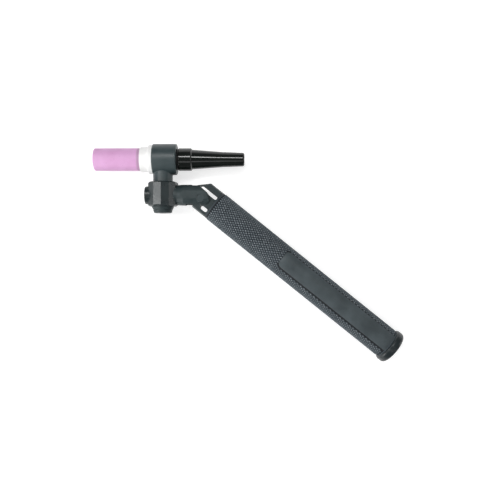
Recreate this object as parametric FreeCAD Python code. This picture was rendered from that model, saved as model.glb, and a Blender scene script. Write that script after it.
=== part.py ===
import FreeCAD, Part
import math
import os
from FreeCAD import Placement, Rotation, Vector

# A gas-cooled arc welding torch with a tilting, swivelling head and a twist-lock handle.
# It lies on its side: X runs along the head towards the handle, Y is up the neck,
# and Z is up from the bench. All sizes are millimetres and degrees.

# Driving dimensions of the layout
bend_angle = 38.75
neck_offset = 25.5
head_height = 23.4
pivot_along_handle = 0.82
pivot_below_axes = 2.33

# Clearances
running_gap = 0.05
seat_gap = 0.02
face_gap = 0.1

# How far a cutting form runs past the face it cuts, and a joined form into its neighbour
run_over = 1.0

# Gas cup
cup_length = 30.0
cup_radius = 7.35
cup_mouth_radius = 5.55
cup_thread_radius = 5.0
cup_thread_depth = 8.7
cup_edge = 0.5

# Head
barrel_front = 6.45
barrel_back = 9.3
barrel_radius = 10.15
barrel_edge = 0.8
neck_radius = 6.4
neck_root_round = 0.6
core_radius = 6.3
core_bore = 4.8

# Heat shield between the head and the cup
shield_flange_radius = 9.5
shield_flange = 2.6
shield_radius = 8.2
shield_length = 8.05
shield_edge = 0.5

# Collet body and collet
collet_body_nose_radius = 3.2
collet_body_nose = 8.2
collet_body_edge = 1.0
collet_body_tail = 1.5
collet_bore = 2.45
gas_hole_radius = 0.6
gas_hole_count = 4
collet_tail = 3.0
collet_tip_radius = 1.65
collet_taper = 2.2
collet_tip_setback = 0.9
electrode_bore = 1.25
collet_slit = 0.4
collet_slit_length = 11.0

# Back cap
cap_gap = 1.1
cap_collar_radius = 7.4
cap_collar = 8.2
cap_step = 0.7
cap_root_radius = 6.45
cap_waist_radius = 4.95
cap_waist = 20.0
cap_end_radius = 4.45
cap_length = 43.0
cap_end_round = 1.2
cap_collar_edge = 0.6
cap_spigot_radius = 5.75
cap_bore = 1.6
cap_wall_at_end = 4.0
stud_gap = 0.08
stud_root_radius = 3.9
stud_root = 5.4
cap_ring_section = 0.55

# Neck spindle and its bearing in the swivel body
spindle_radius = 4.5
spindle_head_radius = 5.2
spindle_foot_radius = 2.8
spindle_bore = 1.5
boss_radius = 3.5
boss_length = 4.2
groove_depth = 0.8
ring_section = 0.42
ring_groove_width = 1.05
upper_ring_height = 4.6
lower_ring_setback = 1.2
gas_groove_width = 2.0
swivel_top = 8.55
swivel_bottom = 7.2
swivel_corner_radius = 10.0
swivel_sides = 12
swivel_chamfer = 0.8
neck_gap = 0.3
foot_room = 3.6
washer_thickness = 0.7
washer_side_gap = 0.5
nut_flats = 8.4
nut_height = 1.9
foot_recess_radius = 5.9

# Bottom cap and side plug of the swivel body
bottom_cap_radius = 7.1
bottom_cap_height = 4.4
bottom_cap_end_radius = 5.7
bottom_cap_spigot = 0.4
bottom_cap_rim = 0.5
bottom_cap_groove_start = 2.1
bottom_cap_groove_width = 0.5
bottom_cap_groove_depth = 0.4
bottom_cap_edge = 0.3
bottom_cap_key = 4.0
bottom_cap_key_depth = 1.6
plug_radius = 5.85
plug_proud = 1.5
plug_seat = 6.6
plug_thread_radius = 3.5
plug_tip = 5.15
plug_edge = 0.4
plug_key = 5.0
plug_key_depth = 2.0
plug_ring_section = 0.36
plug_groove_width = 1.08
pad_radius = 2.0

# Arm with its fork
arm_radius = 6.45
fork_start = 19.0
fork_root = 11.8
fork_half_width = 7.2
fork_rise = 0.05
fork_radius = 7.6
fork_edge = 0.8
cheek_radius = 5.93
slot_radius = 10.3
arm_tube_radius = 3.0
arm_tube_bore = 2.0
arm_tube_setback = 0.2
arm_bore_end = 12.6
channel_radius = 0.6
channel_wall = 0.25
channel_turn = 13.4

# Hinge pin
pin_radius = 2.5
pin_setback = 0.6
pin_bore = 0.8
pin_plug_length = 1.4
pin_gas_groove_width = 1.0
pin_cross_radius = 0.5
pin_groove_depth = 0.5
pin_ring_height = 1.3
pin_ring_groove_width = 0.9
pin_ring_section = 0.27
hinge_washer_radius = 3.8
hinge_washer_thickness = 0.3
pin_screw_angle = -10.0
pin_screw_radius = 0.8
pin_screw_length = 2.6

# Nose of the handle
nose_front = 6.2
nose_flat_radius = 3.7
nose_radius = 9.9
nose_half_thickness = 4.2
window_half_width = 1.2
upper_window_centre = 4.1
upper_window_start = -3.9
lower_window_centre = -6.1
lower_window_start = 4.0
window_margin = 0.3
shoulder_gap = 0.2
spigot_length = 17.2
spigot_wall = 1.65
cavity_depth = 7.0
tube_seat_depth = 7.0
core_tube_radius = 2.4
core_tube_bore = 1.4
nose_gas_offset = -1.0
nose_gas_radius = 0.9
key_width = 2.0
key_height = 0.9
key_slot_slack = 1.1

# Lock inside the handle
plunger_radius = 0.85
plunger_height = 2.75
lock_travel = 0.5
collar_front_length = 5.5
collar_step = 0.2
key_setback = 0.6
key_length = 4.0
spring_space = 1.0
spring_thickness = 0.3
spring_width = 1.4
spring_side_gap = 0.2
drive_nut_gap = 0.3
drive_nut_length = 9.7
thrust_washer_thickness = 0.8
thrust_washer_gap = 0.3
stop_nut_length = 5.1
stop_nut_gap = 1.07
bush_length = 5.0
core_tube_length = 48.0
stem_overlap = 8.0
stem_hex = 5.0
stem_flats = 9.0
stem_length = 16.0
stem_radius = 4.0

# Grip
grip_front = 10.0
grip_radius = 10.2
grip_wall = 2.2
grip_front_edge = 0.4
band_start = 66.0
band_rear_margin = 1.2
band_depth = 0.2
band_low_angle = -28.0
band_high_angle = 152.0
cable_wall = 1.8
cable_bore_start = 70.0
rim_start = 154.9
rim_length = 5.8
rim_height = 1.1
rim_seat_depth = 1.0
rim_lip = 1.2
rim_front_round = 1.6
rim_back_round = 2.2
rim_bore_edge = 0.4

NEAR = 0.001

# Places and radii that follow from the sizes above
groove_floor = spindle_radius - groove_depth
shoulder_depth = swivel_bottom - foot_room
lower_ring_height = lower_ring_setback - shoulder_depth
fork_half_height = arm_radius + fork_rise
slot_half_width = nose_half_thickness + hinge_washer_thickness + running_gap
channel_height = slot_half_width + channel_wall + channel_radius
pin_half_length = fork_half_width - pin_setback
pin_groove_floor = pin_radius - pin_groove_depth
grip_bore = grip_radius - grip_wall
cable_bore = grip_radius - cable_wall
rim_radius = grip_radius + rim_height
rim_end = rim_start + rim_length
blade_end = grip_front - shoulder_gap
spigot_radius = grip_bore - running_gap
spigot_end = blade_end + spigot_length
cavity_radius = spigot_radius - spigot_wall
cavity_start = spigot_end - cavity_depth
core_tube_seat = cavity_start - tube_seat_depth
core_tube_end = core_tube_seat + core_tube_length
drive_nut_start = spigot_end + drive_nut_gap
drive_nut_end = drive_nut_start + drive_nut_length
collar_face = cavity_start + spring_space
collar_end = drive_nut_end - lock_travel - face_gap
collar_front_radius = cavity_radius - face_gap
collar_radius = collar_front_radius - collar_step
key_start = collar_face + key_setback
stem_start = core_tube_end - stem_overlap
stem_end = stem_start + stem_length


# Frames that the pieces are built in: X is the piece's own axis
swivel_x = -neck_offset
handle_turn = Rotation(Vector(0, 0, 1), -bend_angle)
pivot = handle_turn.multVec(Vector(pivot_along_handle, -pivot_below_axes, 0))

ARM = Placement()
HEAD = Placement(Vector(swivel_x, head_height, 0), Rotation())
SWIVEL = Placement(Vector(swivel_x, 0, 0), Rotation(Vector(0, 0, 1), 90))
SIDE = Placement(Vector(swivel_x, 0, 0), Rotation())
HANDLE = Placement(Vector(0, 0, 0), handle_turn)
PIVOT = Placement(pivot, Rotation(Vector(0, 1, 0), -90))


def box_corner_shift():
    """Moves the layout so that the origin lies under the middle of the whole torch."""
    mouth_x = swivel_x - barrel_front - shield_length - cup_length
    rim_centre = handle_turn.multVec(Vector(rim_end - rim_back_round, rim_radius - rim_back_round, 0))
    low_centre = handle_turn.multVec(Vector(rim_end - rim_back_round, rim_back_round - rim_radius, 0))
    right_x = rim_centre.x + rim_back_round
    low_y = low_centre.y - rim_back_round
    high_y = head_height + barrel_radius
    return Vector(-(mouth_x + right_x) / 2, -(low_y + high_y) / 2, rim_radius)


def turned(profile, place=ARM):
    """Revolves an outline of (along, radius) points about the frame's X axis."""
    points = [Vector(along, radius, 0) for along, radius in profile]
    face = Part.Face(Part.makePolygon(points + points[:1]))
    solid = face.revolve(Vector(0, 0, 0), Vector(1, 0, 0), 360)
    solid.Placement = place
    return solid


def rod(radius, start, end, place=ARM):
    solid = Part.makeCylinder(radius, end - start, Vector(start, 0, 0), Vector(1, 0, 0))
    solid.Placement = place
    return solid


def side_rod(radius, start, end, across, height, place):
    """A rod parallel to the frame's X axis, moved off it by across and height."""
    solid = Part.makeCylinder(radius, end - start, Vector(start, across, height), Vector(1, 0, 0))
    solid.Placement = place
    return solid


def tube(radius, bore, start, end, place=ARM):
    return turned([(start, bore), (start, radius), (end, radius), (end, bore)], place)


def prism(sides, corner_radius, start, end, place=ARM):
    """A straight bar along X with a regular outline; one corner points along the frame's Z."""
    corners = []
    for number in range(sides):
        angle = 2 * math.pi * number / sides
        corners.append(Vector(start, corner_radius * math.sin(angle), corner_radius * math.cos(angle)))
    face = Part.Face(Part.makePolygon(corners + corners[:1]))
    solid = face.extrude(Vector(end - start, 0, 0))
    solid.Placement = place
    return solid


def hexagon(flats, start, end, place=ARM):
    return prism(6, flats / math.sqrt(3), start, end, place)


def ring(section, middle_radius, along, place=ARM):
    solid = Part.makeTorus(middle_radius, section, Vector(along, 0, 0), Vector(1, 0, 0))
    solid.Placement = place
    return solid


def block(low, high, place=ARM):
    size = [high[i] - low[i] for i in range(3)]
    solid = Part.makeBox(size[0], size[1], size[2], Vector(*low))
    solid.Placement = place
    return solid


def round_rims(shape, spots):
    """Rounds the circular edges of a turned piece at the (along, radius, size) spots."""
    for along, radius, size in spots:
        rims = [edge for edge in shape.Edges
                if isinstance(edge.Curve, Part.Circle)
                and abs(edge.Curve.Center.x - along) < NEAR
                and abs(edge.Curve.Radius - radius) < NEAR]
        shape = shape.makeFillet(size, rims)
    return shape


def placed(shape, place):
    shape.Placement = place
    return shape


def placed_over(shape, place):
    """Places a shape that already has a turn of its own."""
    shape.Placement = place.multiply(shape.Placement)
    return shape


# Head: the gas cup, its heat shield, and the collet that grips the electrode
shield_front = -barrel_front - shield_length
cup_mouth = shield_front - cup_length
thread_front = shield_front - cup_thread_depth
collet_body_thread = cup_thread_radius - running_gap
collet_body_tip = thread_front - collet_body_nose
head_thread_radius = core_bore - running_gap


def make_cup():
    step = thread_front - cup_edge
    cup = turned([(cup_mouth, cup_mouth_radius), (cup_mouth, cup_radius), (shield_front, cup_radius),
                  (shield_front, cup_thread_radius), (thread_front, cup_thread_radius),
                  (step, cup_mouth_radius)])
    cup = round_rims(cup, [(cup_mouth, cup_radius, cup_edge), (shield_front, cup_radius, cup_edge)])
    return placed(cup, HEAD)


def make_heat_shield():
    flange_front = -barrel_front - shield_flange
    shield = turned([(-barrel_front, cup_thread_radius), (-barrel_front, shield_flange_radius),
                     (flange_front, shield_flange_radius), (flange_front, shield_radius),
                     (shield_front, shield_radius), (shield_front, cup_thread_radius)])
    shield = round_rims(shield, [(flange_front, shield_flange_radius, shield_edge),
                                 (shield_front, shield_radius, shield_edge)])
    return placed(shield, HEAD)


def make_collet_body():
    tip_bore = electrode_bore + running_gap
    taper_end = collet_body_tip + collet_tip_setback
    body = turned([(collet_body_tip, tip_bore), (collet_body_tip, collet_body_nose_radius - collet_body_edge),
                   (collet_body_tip + collet_body_edge, collet_body_nose_radius),
                   (thread_front, collet_body_nose_radius),
                   (thread_front, collet_body_thread), (-barrel_front, collet_body_thread),
                   (-barrel_front, head_thread_radius), (collet_body_tail, head_thread_radius),
                   (collet_body_tail, collet_bore), (taper_end + collet_taper, collet_bore),
                   (taper_end, tip_bore)], HEAD)
    for number in range(gas_hole_count):
        hole = Part.makeCylinder(gas_hole_radius, collet_body_thread,
                                 Vector(thread_front - 2 * gas_hole_radius, 0, 0), Vector(0, 1, 0))
        hole.rotate(Vector(0, 0, 0), Vector(1, 0, 0), 45 + 360 * number / gas_hole_count)
        body = body.cut(placed_over(hole, HEAD))
    return body


def make_collet():
    radius = collet_bore - running_gap
    tip_bore = electrode_bore + running_gap
    taper_end = collet_body_tip + collet_tip_setback
    slope = collet_taper / (collet_bore - tip_bore)
    tip = taper_end + (collet_tip_radius + running_gap - tip_bore) * slope
    collet = turned([(tip, electrode_bore), (tip, collet_tip_radius), (taper_end + collet_taper, radius),
                     (collet_tail, radius), (collet_tail, electrode_bore)], HEAD)
    slit = block((tip - run_over, -collet_bore, -collet_slit / 2),
                 (tip + collet_slit_length, collet_bore, collet_slit / 2), HEAD)
    return collet.cut(slit)


# Head: the brass core, its moulded cover and the neck spindle
spindle_top = head_height - core_radius - neck_gap
boss_end = spindle_top - boss_length


def make_head_core():
    core = rod(core_radius, -barrel_front, barrel_back, HEAD)
    boss = rod(boss_radius, boss_end, head_height - core_bore, SWIVEL)
    core = core.fuse(boss)
    core = core.cut(rod(core_bore, -barrel_front - run_over, barrel_back + run_over, HEAD))
    return core.cut(rod(spindle_bore, boss_end - run_over, head_height, SWIVEL))


def make_head_cover():
    barrel = round_rims(rod(barrel_radius, -barrel_front, barrel_back),
                        [(-barrel_front, barrel_radius, barrel_edge),
                         (barrel_back, barrel_radius, barrel_edge)])
    barrel = placed(barrel, HEAD)
    neck = rod(neck_radius, swivel_top + neck_gap, head_height, SWIVEL)
    cover = barrel.fuse(neck)
    root = [edge for edge in cover.Edges if isinstance(edge.Curve, Part.BSplineCurve)]
    cover = cover.makeFillet(neck_root_round, root)
    cover = cover.cut(rod(core_radius + seat_gap, -barrel_front - run_over, barrel_back + run_over, HEAD))
    return cover.cut(rod(spindle_head_radius + seat_gap, swivel_top, head_height, SWIVEL))


def spindle_groove(height, width):
    """Outline points of a groove in the spindle, from its low side to its high side."""
    return [(height - width / 2, spindle_radius), (height - width / 2, groove_floor),
            (height + width / 2, groove_floor), (height + width / 2, spindle_radius)]


spindle_foot = -shoulder_depth - running_gap - washer_thickness - nut_height - face_gap


def make_neck_spindle():
    shoulder = swivel_top + neck_gap
    outline = [(spindle_foot, 0), (spindle_foot, spindle_foot_radius), (-shoulder_depth, spindle_foot_radius),
               (-shoulder_depth, spindle_radius)]
    outline += spindle_groove(lower_ring_height, ring_groove_width)
    outline += spindle_groove(0, gas_groove_width)
    outline += spindle_groove(upper_ring_height, ring_groove_width)
    outline += [(shoulder, spindle_radius), (shoulder, spindle_head_radius),
                (spindle_top, spindle_head_radius), (spindle_top, boss_radius + seat_gap),
                (boss_end, boss_radius + seat_gap),
                (boss_end, spindle_bore), (-gas_groove_width, spindle_bore), (-gas_groove_width, 0)]
    spindle = turned(outline, SWIVEL)
    return spindle.cut(rod(gas_groove_width / 2, -spindle_radius, spindle_radius, SIDE))


def make_spindle_o_rings():
    middle = (groove_floor + spindle_radius + running_gap) / 2
    section = ring_section - seat_gap
    return [ring(section, middle, height, SWIVEL) for height in (lower_ring_height, upper_ring_height)]


def make_spindle_washer():
    top = -shoulder_depth - running_gap
    radius = foot_recess_radius - washer_side_gap
    return tube(radius, spindle_foot_radius + seat_gap, top - washer_thickness, top, SWIVEL)


def make_spindle_nut():
    top = -shoulder_depth - running_gap - washer_thickness
    nut = hexagon(nut_flats, top - nut_height, top, SWIVEL)
    return nut.cut(rod(spindle_foot_radius + seat_gap, top - nut_height - run_over, top + run_over, SWIVEL))


# Head: the back cap, which presses on the collet and closes the barrel behind it
cap_front = barrel_back + cap_gap


def make_back_cap():
    collar_end = cap_front + cap_collar
    step_end = collar_end + cap_step
    waist = step_end + cap_waist
    end = cap_front + cap_length
    inner_face = barrel_back + running_gap
    cap = turned([(inner_face, stud_root_radius), (inner_face, cap_spigot_radius),
                  (cap_front, cap_spigot_radius), (cap_front, cap_collar_radius),
                  (collar_end, cap_collar_radius), (step_end, cap_root_radius), (waist, cap_waist_radius),
                  (end, cap_end_radius), (end, 0), (end - cap_wall_at_end, 0),
                  (end - cap_wall_at_end, cap_bore), (cap_front + stud_root, cap_bore),
                  (cap_front + stud_root, stud_root_radius)])
    cap = round_rims(cap, [(cap_front, cap_collar_radius, cap_collar_edge),
                           (collar_end, cap_collar_radius, cap_collar_edge),
                           (end, cap_end_radius, cap_end_round)])
    return placed(cap, HEAD)


def make_back_cap_stud():
    front = collet_tail + face_gap
    stud_radius = core_bore - stud_gap
    return turned([(front, cap_bore), (front, stud_radius), (barrel_back, stud_radius),
                   (barrel_back, stud_root_radius - seat_gap),
                   (cap_front + stud_root, stud_root_radius - seat_gap),
                   (cap_front + stud_root, cap_bore)], HEAD)


def make_back_cap_o_ring():
    middle = cap_spigot_radius + running_gap + cap_ring_section
    return ring(cap_ring_section - seat_gap, middle, barrel_back + cap_gap / 2, HEAD)


# Swivel body: the joint housing between the neck and the arm
def swivel_block():
    bar = prism(swivel_sides, swivel_corner_radius, -swivel_bottom, swivel_top)
    rims = [edge for edge in bar.Edges
            if abs(edge.Vertexes[0].Point.x - edge.Vertexes[1].Point.x) < NEAR]
    return placed(bar.makeChamfer(swivel_chamfer, rims), SWIVEL)


def make_swivel_body():
    tube_start = spindle_radius + arm_tube_setback
    body = swivel_block()
    bearing = spindle_radius + running_gap
    body = body.cut(rod(bearing, -shoulder_depth - run_over, swivel_top + run_over, SWIVEL))
    body = body.cut(rod(foot_recess_radius, -swivel_bottom - run_over, -shoulder_depth, SWIVEL))
    body = body.cut(rod(arm_tube_radius + seat_gap, tube_start, swivel_corner_radius + run_over, SIDE))
    body = body.cut(rod(arm_tube_bore, 0, tube_start, SIDE))
    body = body.cut(rod(plug_radius + seat_gap, -swivel_corner_radius - run_over, -plug_seat, SIDE))
    body = body.cut(rod(plug_thread_radius + seat_gap, -plug_seat, -plug_tip, SIDE))
    return body.cut(rod(pad_radius + running_gap, -plug_tip, 0, SIDE))


def bottom_cap_taper(depth):
    """Radius of the bottom cap's sloping side at a depth below the swivel body."""
    slope = (bottom_cap_radius - bottom_cap_end_radius) / (bottom_cap_height - bottom_cap_rim)
    return bottom_cap_radius - slope * (depth - bottom_cap_rim)


def make_bottom_cap():
    top = -swivel_bottom
    end = top - bottom_cap_height
    spigot = foot_recess_radius - seat_gap
    groove_end = bottom_cap_groove_start + bottom_cap_groove_width
    groove_floor_radius = bottom_cap_taper(groove_end) - bottom_cap_groove_depth
    edge_depth = bottom_cap_height - bottom_cap_edge
    cap = turned([(top + bottom_cap_spigot, 0), (top + bottom_cap_spigot, spigot), (top, spigot),
                  (top, bottom_cap_radius), (top - bottom_cap_rim, bottom_cap_radius),
                  (top - bottom_cap_groove_start, bottom_cap_taper(bottom_cap_groove_start)),
                  (top - bottom_cap_groove_start, groove_floor_radius),
                  (top - groove_end, groove_floor_radius), (top - groove_end, bottom_cap_taper(groove_end)),
                  (top - edge_depth, bottom_cap_taper(edge_depth)),
                  (end, bottom_cap_end_radius - bottom_cap_edge), (end, 0)], SWIVEL)
    return cap.cut(hexagon(bottom_cap_key, end - run_over, end + bottom_cap_key_depth, SWIVEL))


def make_side_plug():
    outside = -swivel_corner_radius - plug_proud
    groove_floor_radius = plug_radius - 2 * plug_ring_section
    groove_start = -plug_seat - plug_groove_width
    plug = turned([(outside, 0), (outside, plug_radius - plug_edge), (outside + plug_edge, plug_radius),
                   (groove_start, plug_radius), (groove_start, groove_floor_radius),
                   (-plug_seat, groove_floor_radius), (-plug_seat, plug_thread_radius),
                   (-plug_tip, plug_thread_radius), (-plug_tip, 0)], SIDE)
    return plug.cut(hexagon(plug_key, outside - run_over, outside + plug_key_depth, SIDE))


def make_side_plug_o_ring():
    middle = plug_radius - plug_ring_section
    return ring(plug_ring_section - seat_gap, middle, -plug_seat - plug_groove_width / 2, SIDE)


def make_friction_pad():
    pad = rod(pad_radius, -plug_tip, -spindle_radius + run_over, SIDE)
    return pad.cut(rod(spindle_radius + seat_gap, -swivel_top, swivel_top, SWIVEL))


# Arm: a round arm that ends in a fork over the nose of the handle
def fork_outline():
    """The fork seen along the hinge: its round end is tangent to a flat along the handle."""
    across = handle_turn.multVec(Vector(0, 1, 0))
    tangent = pivot + across * cheek_radius
    flat_top = Vector((tangent.dot(across) - fork_half_height * across.y) / across.x, fork_half_height, 0)
    drop = fork_half_height + pivot.y
    low_end = Vector(pivot.x + math.sqrt(cheek_radius ** 2 - drop ** 2), -fork_half_height, 0)
    front = Vector(pivot.x + cheek_radius, pivot.y, 0)
    top_start = Vector(-fork_start - fork_root, fork_half_height, 0)
    low_start = Vector(-fork_start - fork_root, -fork_half_height, 0)
    return [Part.LineSegment(top_start, flat_top).toShape(),
            Part.LineSegment(flat_top, tangent).toShape(),
            Part.Arc(tangent, front, low_end).toShape(),
            Part.LineSegment(low_end, low_start).toShape(),
            Part.LineSegment(low_start, top_start).toShape()]


def make_fork_block():
    outline = Part.Face(Part.Wire(fork_outline()))
    outline.translate(Vector(0, 0, -fork_half_width))
    slab = outline.extrude(Vector(0, 0, 2 * fork_half_width))
    flat_edges = [edge for edge in slab.Edges
                  if abs(abs(edge.CenterOfMass.z) - fork_half_width) < NEAR]
    slab = slab.makeFillet(fork_edge, flat_edges)
    bell = turned([(-fork_start, 0), (-fork_start, arm_radius - fork_edge), (-fork_root, fork_radius),
                   (fork_root, fork_radius), (fork_root, 0)])
    return slab.common(bell)


def make_arm():
    arm = rod(arm_radius, swivel_x + spindle_radius, -fork_root)
    arm = arm.fuse(make_fork_block()).removeSplitter()
    arm = arm.cut(rod(slot_radius, -slot_half_width, slot_half_width, PIVOT))
    arm = arm.cut(swivel_block())
    arm = arm.cut(rod(arm_tube_radius + seat_gap, swivel_x, -arm_bore_end))
    arm = arm.cut(rod(pin_radius + seat_gap, -fork_half_width - run_over, fork_half_width + run_over, PIVOT))
    for hole in pin_screw_rods(pin_screw_radius + seat_gap, pin_radius, cheek_radius + run_over):
        arm = arm.cut(hole)
    channel = Part.makeCylinder(channel_radius, channel_turn + pivot.x,
                                Vector(-channel_turn, pivot.y, channel_height), Vector(1, 0, 0))
    cross = Part.makeCylinder(channel_radius, channel_height,
                              Vector(-channel_turn, pivot.y, 0), Vector(0, 0, 1))
    return arm.cut(channel).cut(cross)


def pin_screw_rods(radius, start, end):
    """Rods that run from the hinge pin out to the round end of each cheek."""
    height = (slot_half_width + fork_half_width) / 2
    turn = math.radians(pin_screw_angle)
    outward = Vector(math.cos(turn), math.sin(turn), 0)
    rods = []
    for level in (-height, height):
        base = Vector(pivot.x, pivot.y, level) + outward * start
        rods.append(Part.makeCylinder(radius, end - start, base, outward))
    return rods


def make_pin_screws():
    return pin_screw_rods(pin_screw_radius, pin_radius + seat_gap, pin_radius + pin_screw_length)


def make_arm_tube():
    return tube(arm_tube_radius, arm_tube_bore, swivel_x + spindle_radius + arm_tube_setback, -arm_bore_end)


def make_hinge_pin():
    outline = [(-pin_half_length, 0), (-pin_half_length, pin_radius)]
    for middle, width in ((-pin_ring_height, pin_ring_groove_width), (0, pin_gas_groove_width),
                          (pin_ring_height, pin_ring_groove_width)):
        outline += [(middle - width / 2, pin_radius), (middle - width / 2, pin_groove_floor),
                    (middle + width / 2, pin_groove_floor), (middle + width / 2, pin_radius)]
    outline += [(pin_half_length, pin_radius), (pin_half_length, 0)]
    pin = turned(outline, PIVOT)
    pin = pin.cut(rod(pin_bore, -pin_half_length - run_over, channel_height + channel_radius, PIVOT))
    for level in (0, channel_height):
        pin = pin.cut(Part.makeCylinder(pin_cross_radius, 2 * pin_radius,
                                        Vector(pivot.x - pin_radius, pivot.y, level), Vector(1, 0, 0)))
    return pin


def make_pin_plug():
    start = -pin_half_length + face_gap
    return rod(pin_bore - seat_gap, start, start + pin_plug_length, PIVOT)


def make_pin_o_rings():
    middle = (pin_groove_floor + pin_radius + running_gap) / 2
    return [ring(pin_ring_section - seat_gap / 2, middle, height, PIVOT)
            for height in (-pin_ring_height, pin_ring_height)]


def make_hinge_washers():
    inner = slot_half_width - hinge_washer_thickness
    bore = pin_radius + running_gap
    return [tube(hinge_washer_radius, bore, inner, slot_half_width, PIVOT),
            tube(hinge_washer_radius, bore, -slot_half_width, -inner, PIVOT)]


# Handle: the nose that carries the hinge, and the tube that brings gas and current
def window(centre, start):
    """A slot with round ends, cut right through the nose along Z."""
    first = start + window_half_width
    last = blade_end - window_margin - window_half_width
    slot = block((first, centre - window_half_width, -nose_radius),
                 (last, centre + window_half_width, nose_radius))
    for along in (first, last):
        slot = slot.fuse(Part.makeCylinder(window_half_width, 2 * nose_radius,
                                           Vector(along, centre, -nose_radius)))
    return placed(slot.removeSplitter(), HANDLE)


def make_nose():
    blade = turned([(-nose_front, 0), (-nose_front, nose_flat_radius),
                    (-nose_front + nose_radius - nose_flat_radius, nose_radius), (blade_end, nose_radius),
                    (blade_end, spigot_radius), (blade_end + run_over, spigot_radius),
                    (blade_end + run_over, 0)], HANDLE)
    slab = block((-nose_front, -nose_radius, -nose_half_thickness),
                 (blade_end + run_over, nose_radius, nose_half_thickness), HANDLE)
    tube_seat = core_tube_radius + seat_gap
    spigot = turned([(blade_end, 0), (blade_end, spigot_radius), (spigot_end, spigot_radius),
                     (spigot_end, cavity_radius), (cavity_start, cavity_radius),
                     (cavity_start, tube_seat), (core_tube_seat, tube_seat), (core_tube_seat, 0)], HANDLE)
    nose = blade.common(slab).fuse(spigot).removeSplitter()
    nose = nose.cut(window(upper_window_centre, upper_window_start))
    nose = nose.cut(window(lower_window_centre, lower_window_start))
    nose = nose.cut(rod(pin_radius + running_gap, -nose_radius, nose_radius, PIVOT))
    for level in (-plunger_height, plunger_height):
        nose = nose.cut(side_rod(plunger_radius + running_gap, pivot_along_handle, cavity_start + run_over,
                                 -pivot_below_axes, level, HANDLE))
    nose = nose.cut(side_rod(nose_gas_radius, pivot_along_handle, core_tube_seat + run_over,
                             nose_gas_offset, 0, HANDLE))
    key_side = key_width / 2 + face_gap
    return nose.cut(block((key_start - key_slot_slack, 0, -key_side),
                          (spigot_end, spigot_radius, key_side), HANDLE))


def make_core_tube():
    return tube(core_tube_radius, core_tube_bore, core_tube_seat, core_tube_end, HANDLE)


def make_thrust_washer():
    start = drive_nut_end + face_gap
    return tube(grip_bore - thrust_washer_gap, core_tube_radius + seat_gap,
                start, start + thrust_washer_thickness, HANDLE)


def make_stop_nut():
    start = drive_nut_end + face_gap + thrust_washer_thickness
    end = start + stop_nut_length
    nut = prism(6, grip_bore - stop_nut_gap, start, end, HANDLE)
    return nut.cut(rod(core_tube_radius + seat_gap, start - run_over, end + run_over, HANDLE))


def make_guide_bush():
    start = drive_nut_end + face_gap + thrust_washer_thickness + stop_nut_length
    return tube(grip_bore - running_gap, core_tube_radius + seat_gap, start, start + bush_length, HANDLE)


def make_cable_stem():
    stem = hexagon(stem_flats, stem_start, stem_start + stem_hex, HANDLE)
    stem = stem.fuse(rod(stem_radius, stem_start + stem_hex, stem_end, HANDLE))
    stem = stem.cut(rod(core_tube_radius + seat_gap, stem_start - run_over, core_tube_end, HANDLE))
    return stem.cut(rod(core_tube_bore, core_tube_end, stem_end + run_over, HANDLE))


# Lock: turning the grip screws the collar forward, and its plungers grip the hinge pin
def make_push_collar():
    bore = core_tube_radius + running_gap
    front_end = collar_face + collar_front_length
    collar = turned([(collar_face, bore), (collar_face, collar_front_radius),
                     (front_end, collar_front_radius), (front_end, collar_radius),
                     (collar_end, collar_radius), (collar_end, bore)], HANDLE)
    key = block((key_start, collar_radius - run_over, -key_width / 2),
                (key_start + key_length, cavity_radius + key_height, key_width / 2), HANDLE)
    return collar.fuse(key)


def make_lock_plungers():
    tip = pivot_along_handle + pin_radius + seat_gap
    return [side_rod(plunger_radius, tip, collar_face, -pivot_below_axes, level, HANDLE)
            for level in (-plunger_height, plunger_height)]


def make_release_spring():
    """A cupped spring washer between the nose and the collar."""
    back = collar_face - seat_gap
    outer = cavity_radius - spring_side_gap
    inner = outer - spring_width
    return turned([(cavity_start, outer - spring_thickness), (cavity_start, outer),
                   (back - spring_thickness, inner + spring_thickness), (back, inner + spring_thickness),
                   (back, inner), (back - spring_thickness, inner)], HANDLE)


# Grip: the knurled sleeve that is twisted to lock the head, with its nut and end collar
def smooth_band():
    """What is cut from the sleeve for its smooth band: part of a thin ring around its rear stretch."""
    band_end = rim_start - band_rear_margin
    low = grip_radius - band_depth
    high = grip_radius + run_over
    corners = [Vector(band_start, low, 0), Vector(band_start, high, 0),
               Vector(band_end, high, 0), Vector(band_end, low, 0)]
    face = Part.Face(Part.makePolygon(corners + corners[:1]))
    face.rotate(Vector(0, 0, 0), Vector(1, 0, 0), 90 - band_high_angle)
    return face.revolve(Vector(0, 0, 0), Vector(1, 0, 0), band_high_angle - band_low_angle)


def make_grip_sleeve():
    seat_end = rim_end - rim_lip
    seat_radius = grip_radius - rim_seat_depth
    bore_step = cable_bore - grip_bore
    sleeve = turned([(grip_front, grip_bore), (grip_front, grip_radius), (rim_start, grip_radius),
                     (rim_start, seat_radius), (seat_end, seat_radius), (seat_end, cable_bore),
                     (cable_bore_start, cable_bore), (cable_bore_start - bore_step, grip_bore)])
    sleeve = round_rims(sleeve, [(grip_front, grip_radius, grip_front_edge)])
    return placed(sleeve.cut(smooth_band()), HANDLE)


def make_drive_nut():
    return tube(grip_bore - seat_gap, collar_radius + running_gap, drive_nut_start, drive_nut_end, HANDLE)


def make_rear_collar():
    seat_end = rim_end - rim_lip
    seat_radius = grip_radius - rim_seat_depth + seat_gap
    collar = turned([(rim_start, seat_radius), (rim_start, rim_radius), (rim_end, rim_radius),
                     (rim_end, cable_bore), (seat_end, cable_bore), (seat_end, seat_radius)])
    collar = round_rims(collar, [(rim_start, rim_radius, rim_front_round),
                                 (rim_end, rim_radius, rim_back_round), (rim_end, cable_bore, rim_bore_edge)])
    return placed(collar, HANDLE)


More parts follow.
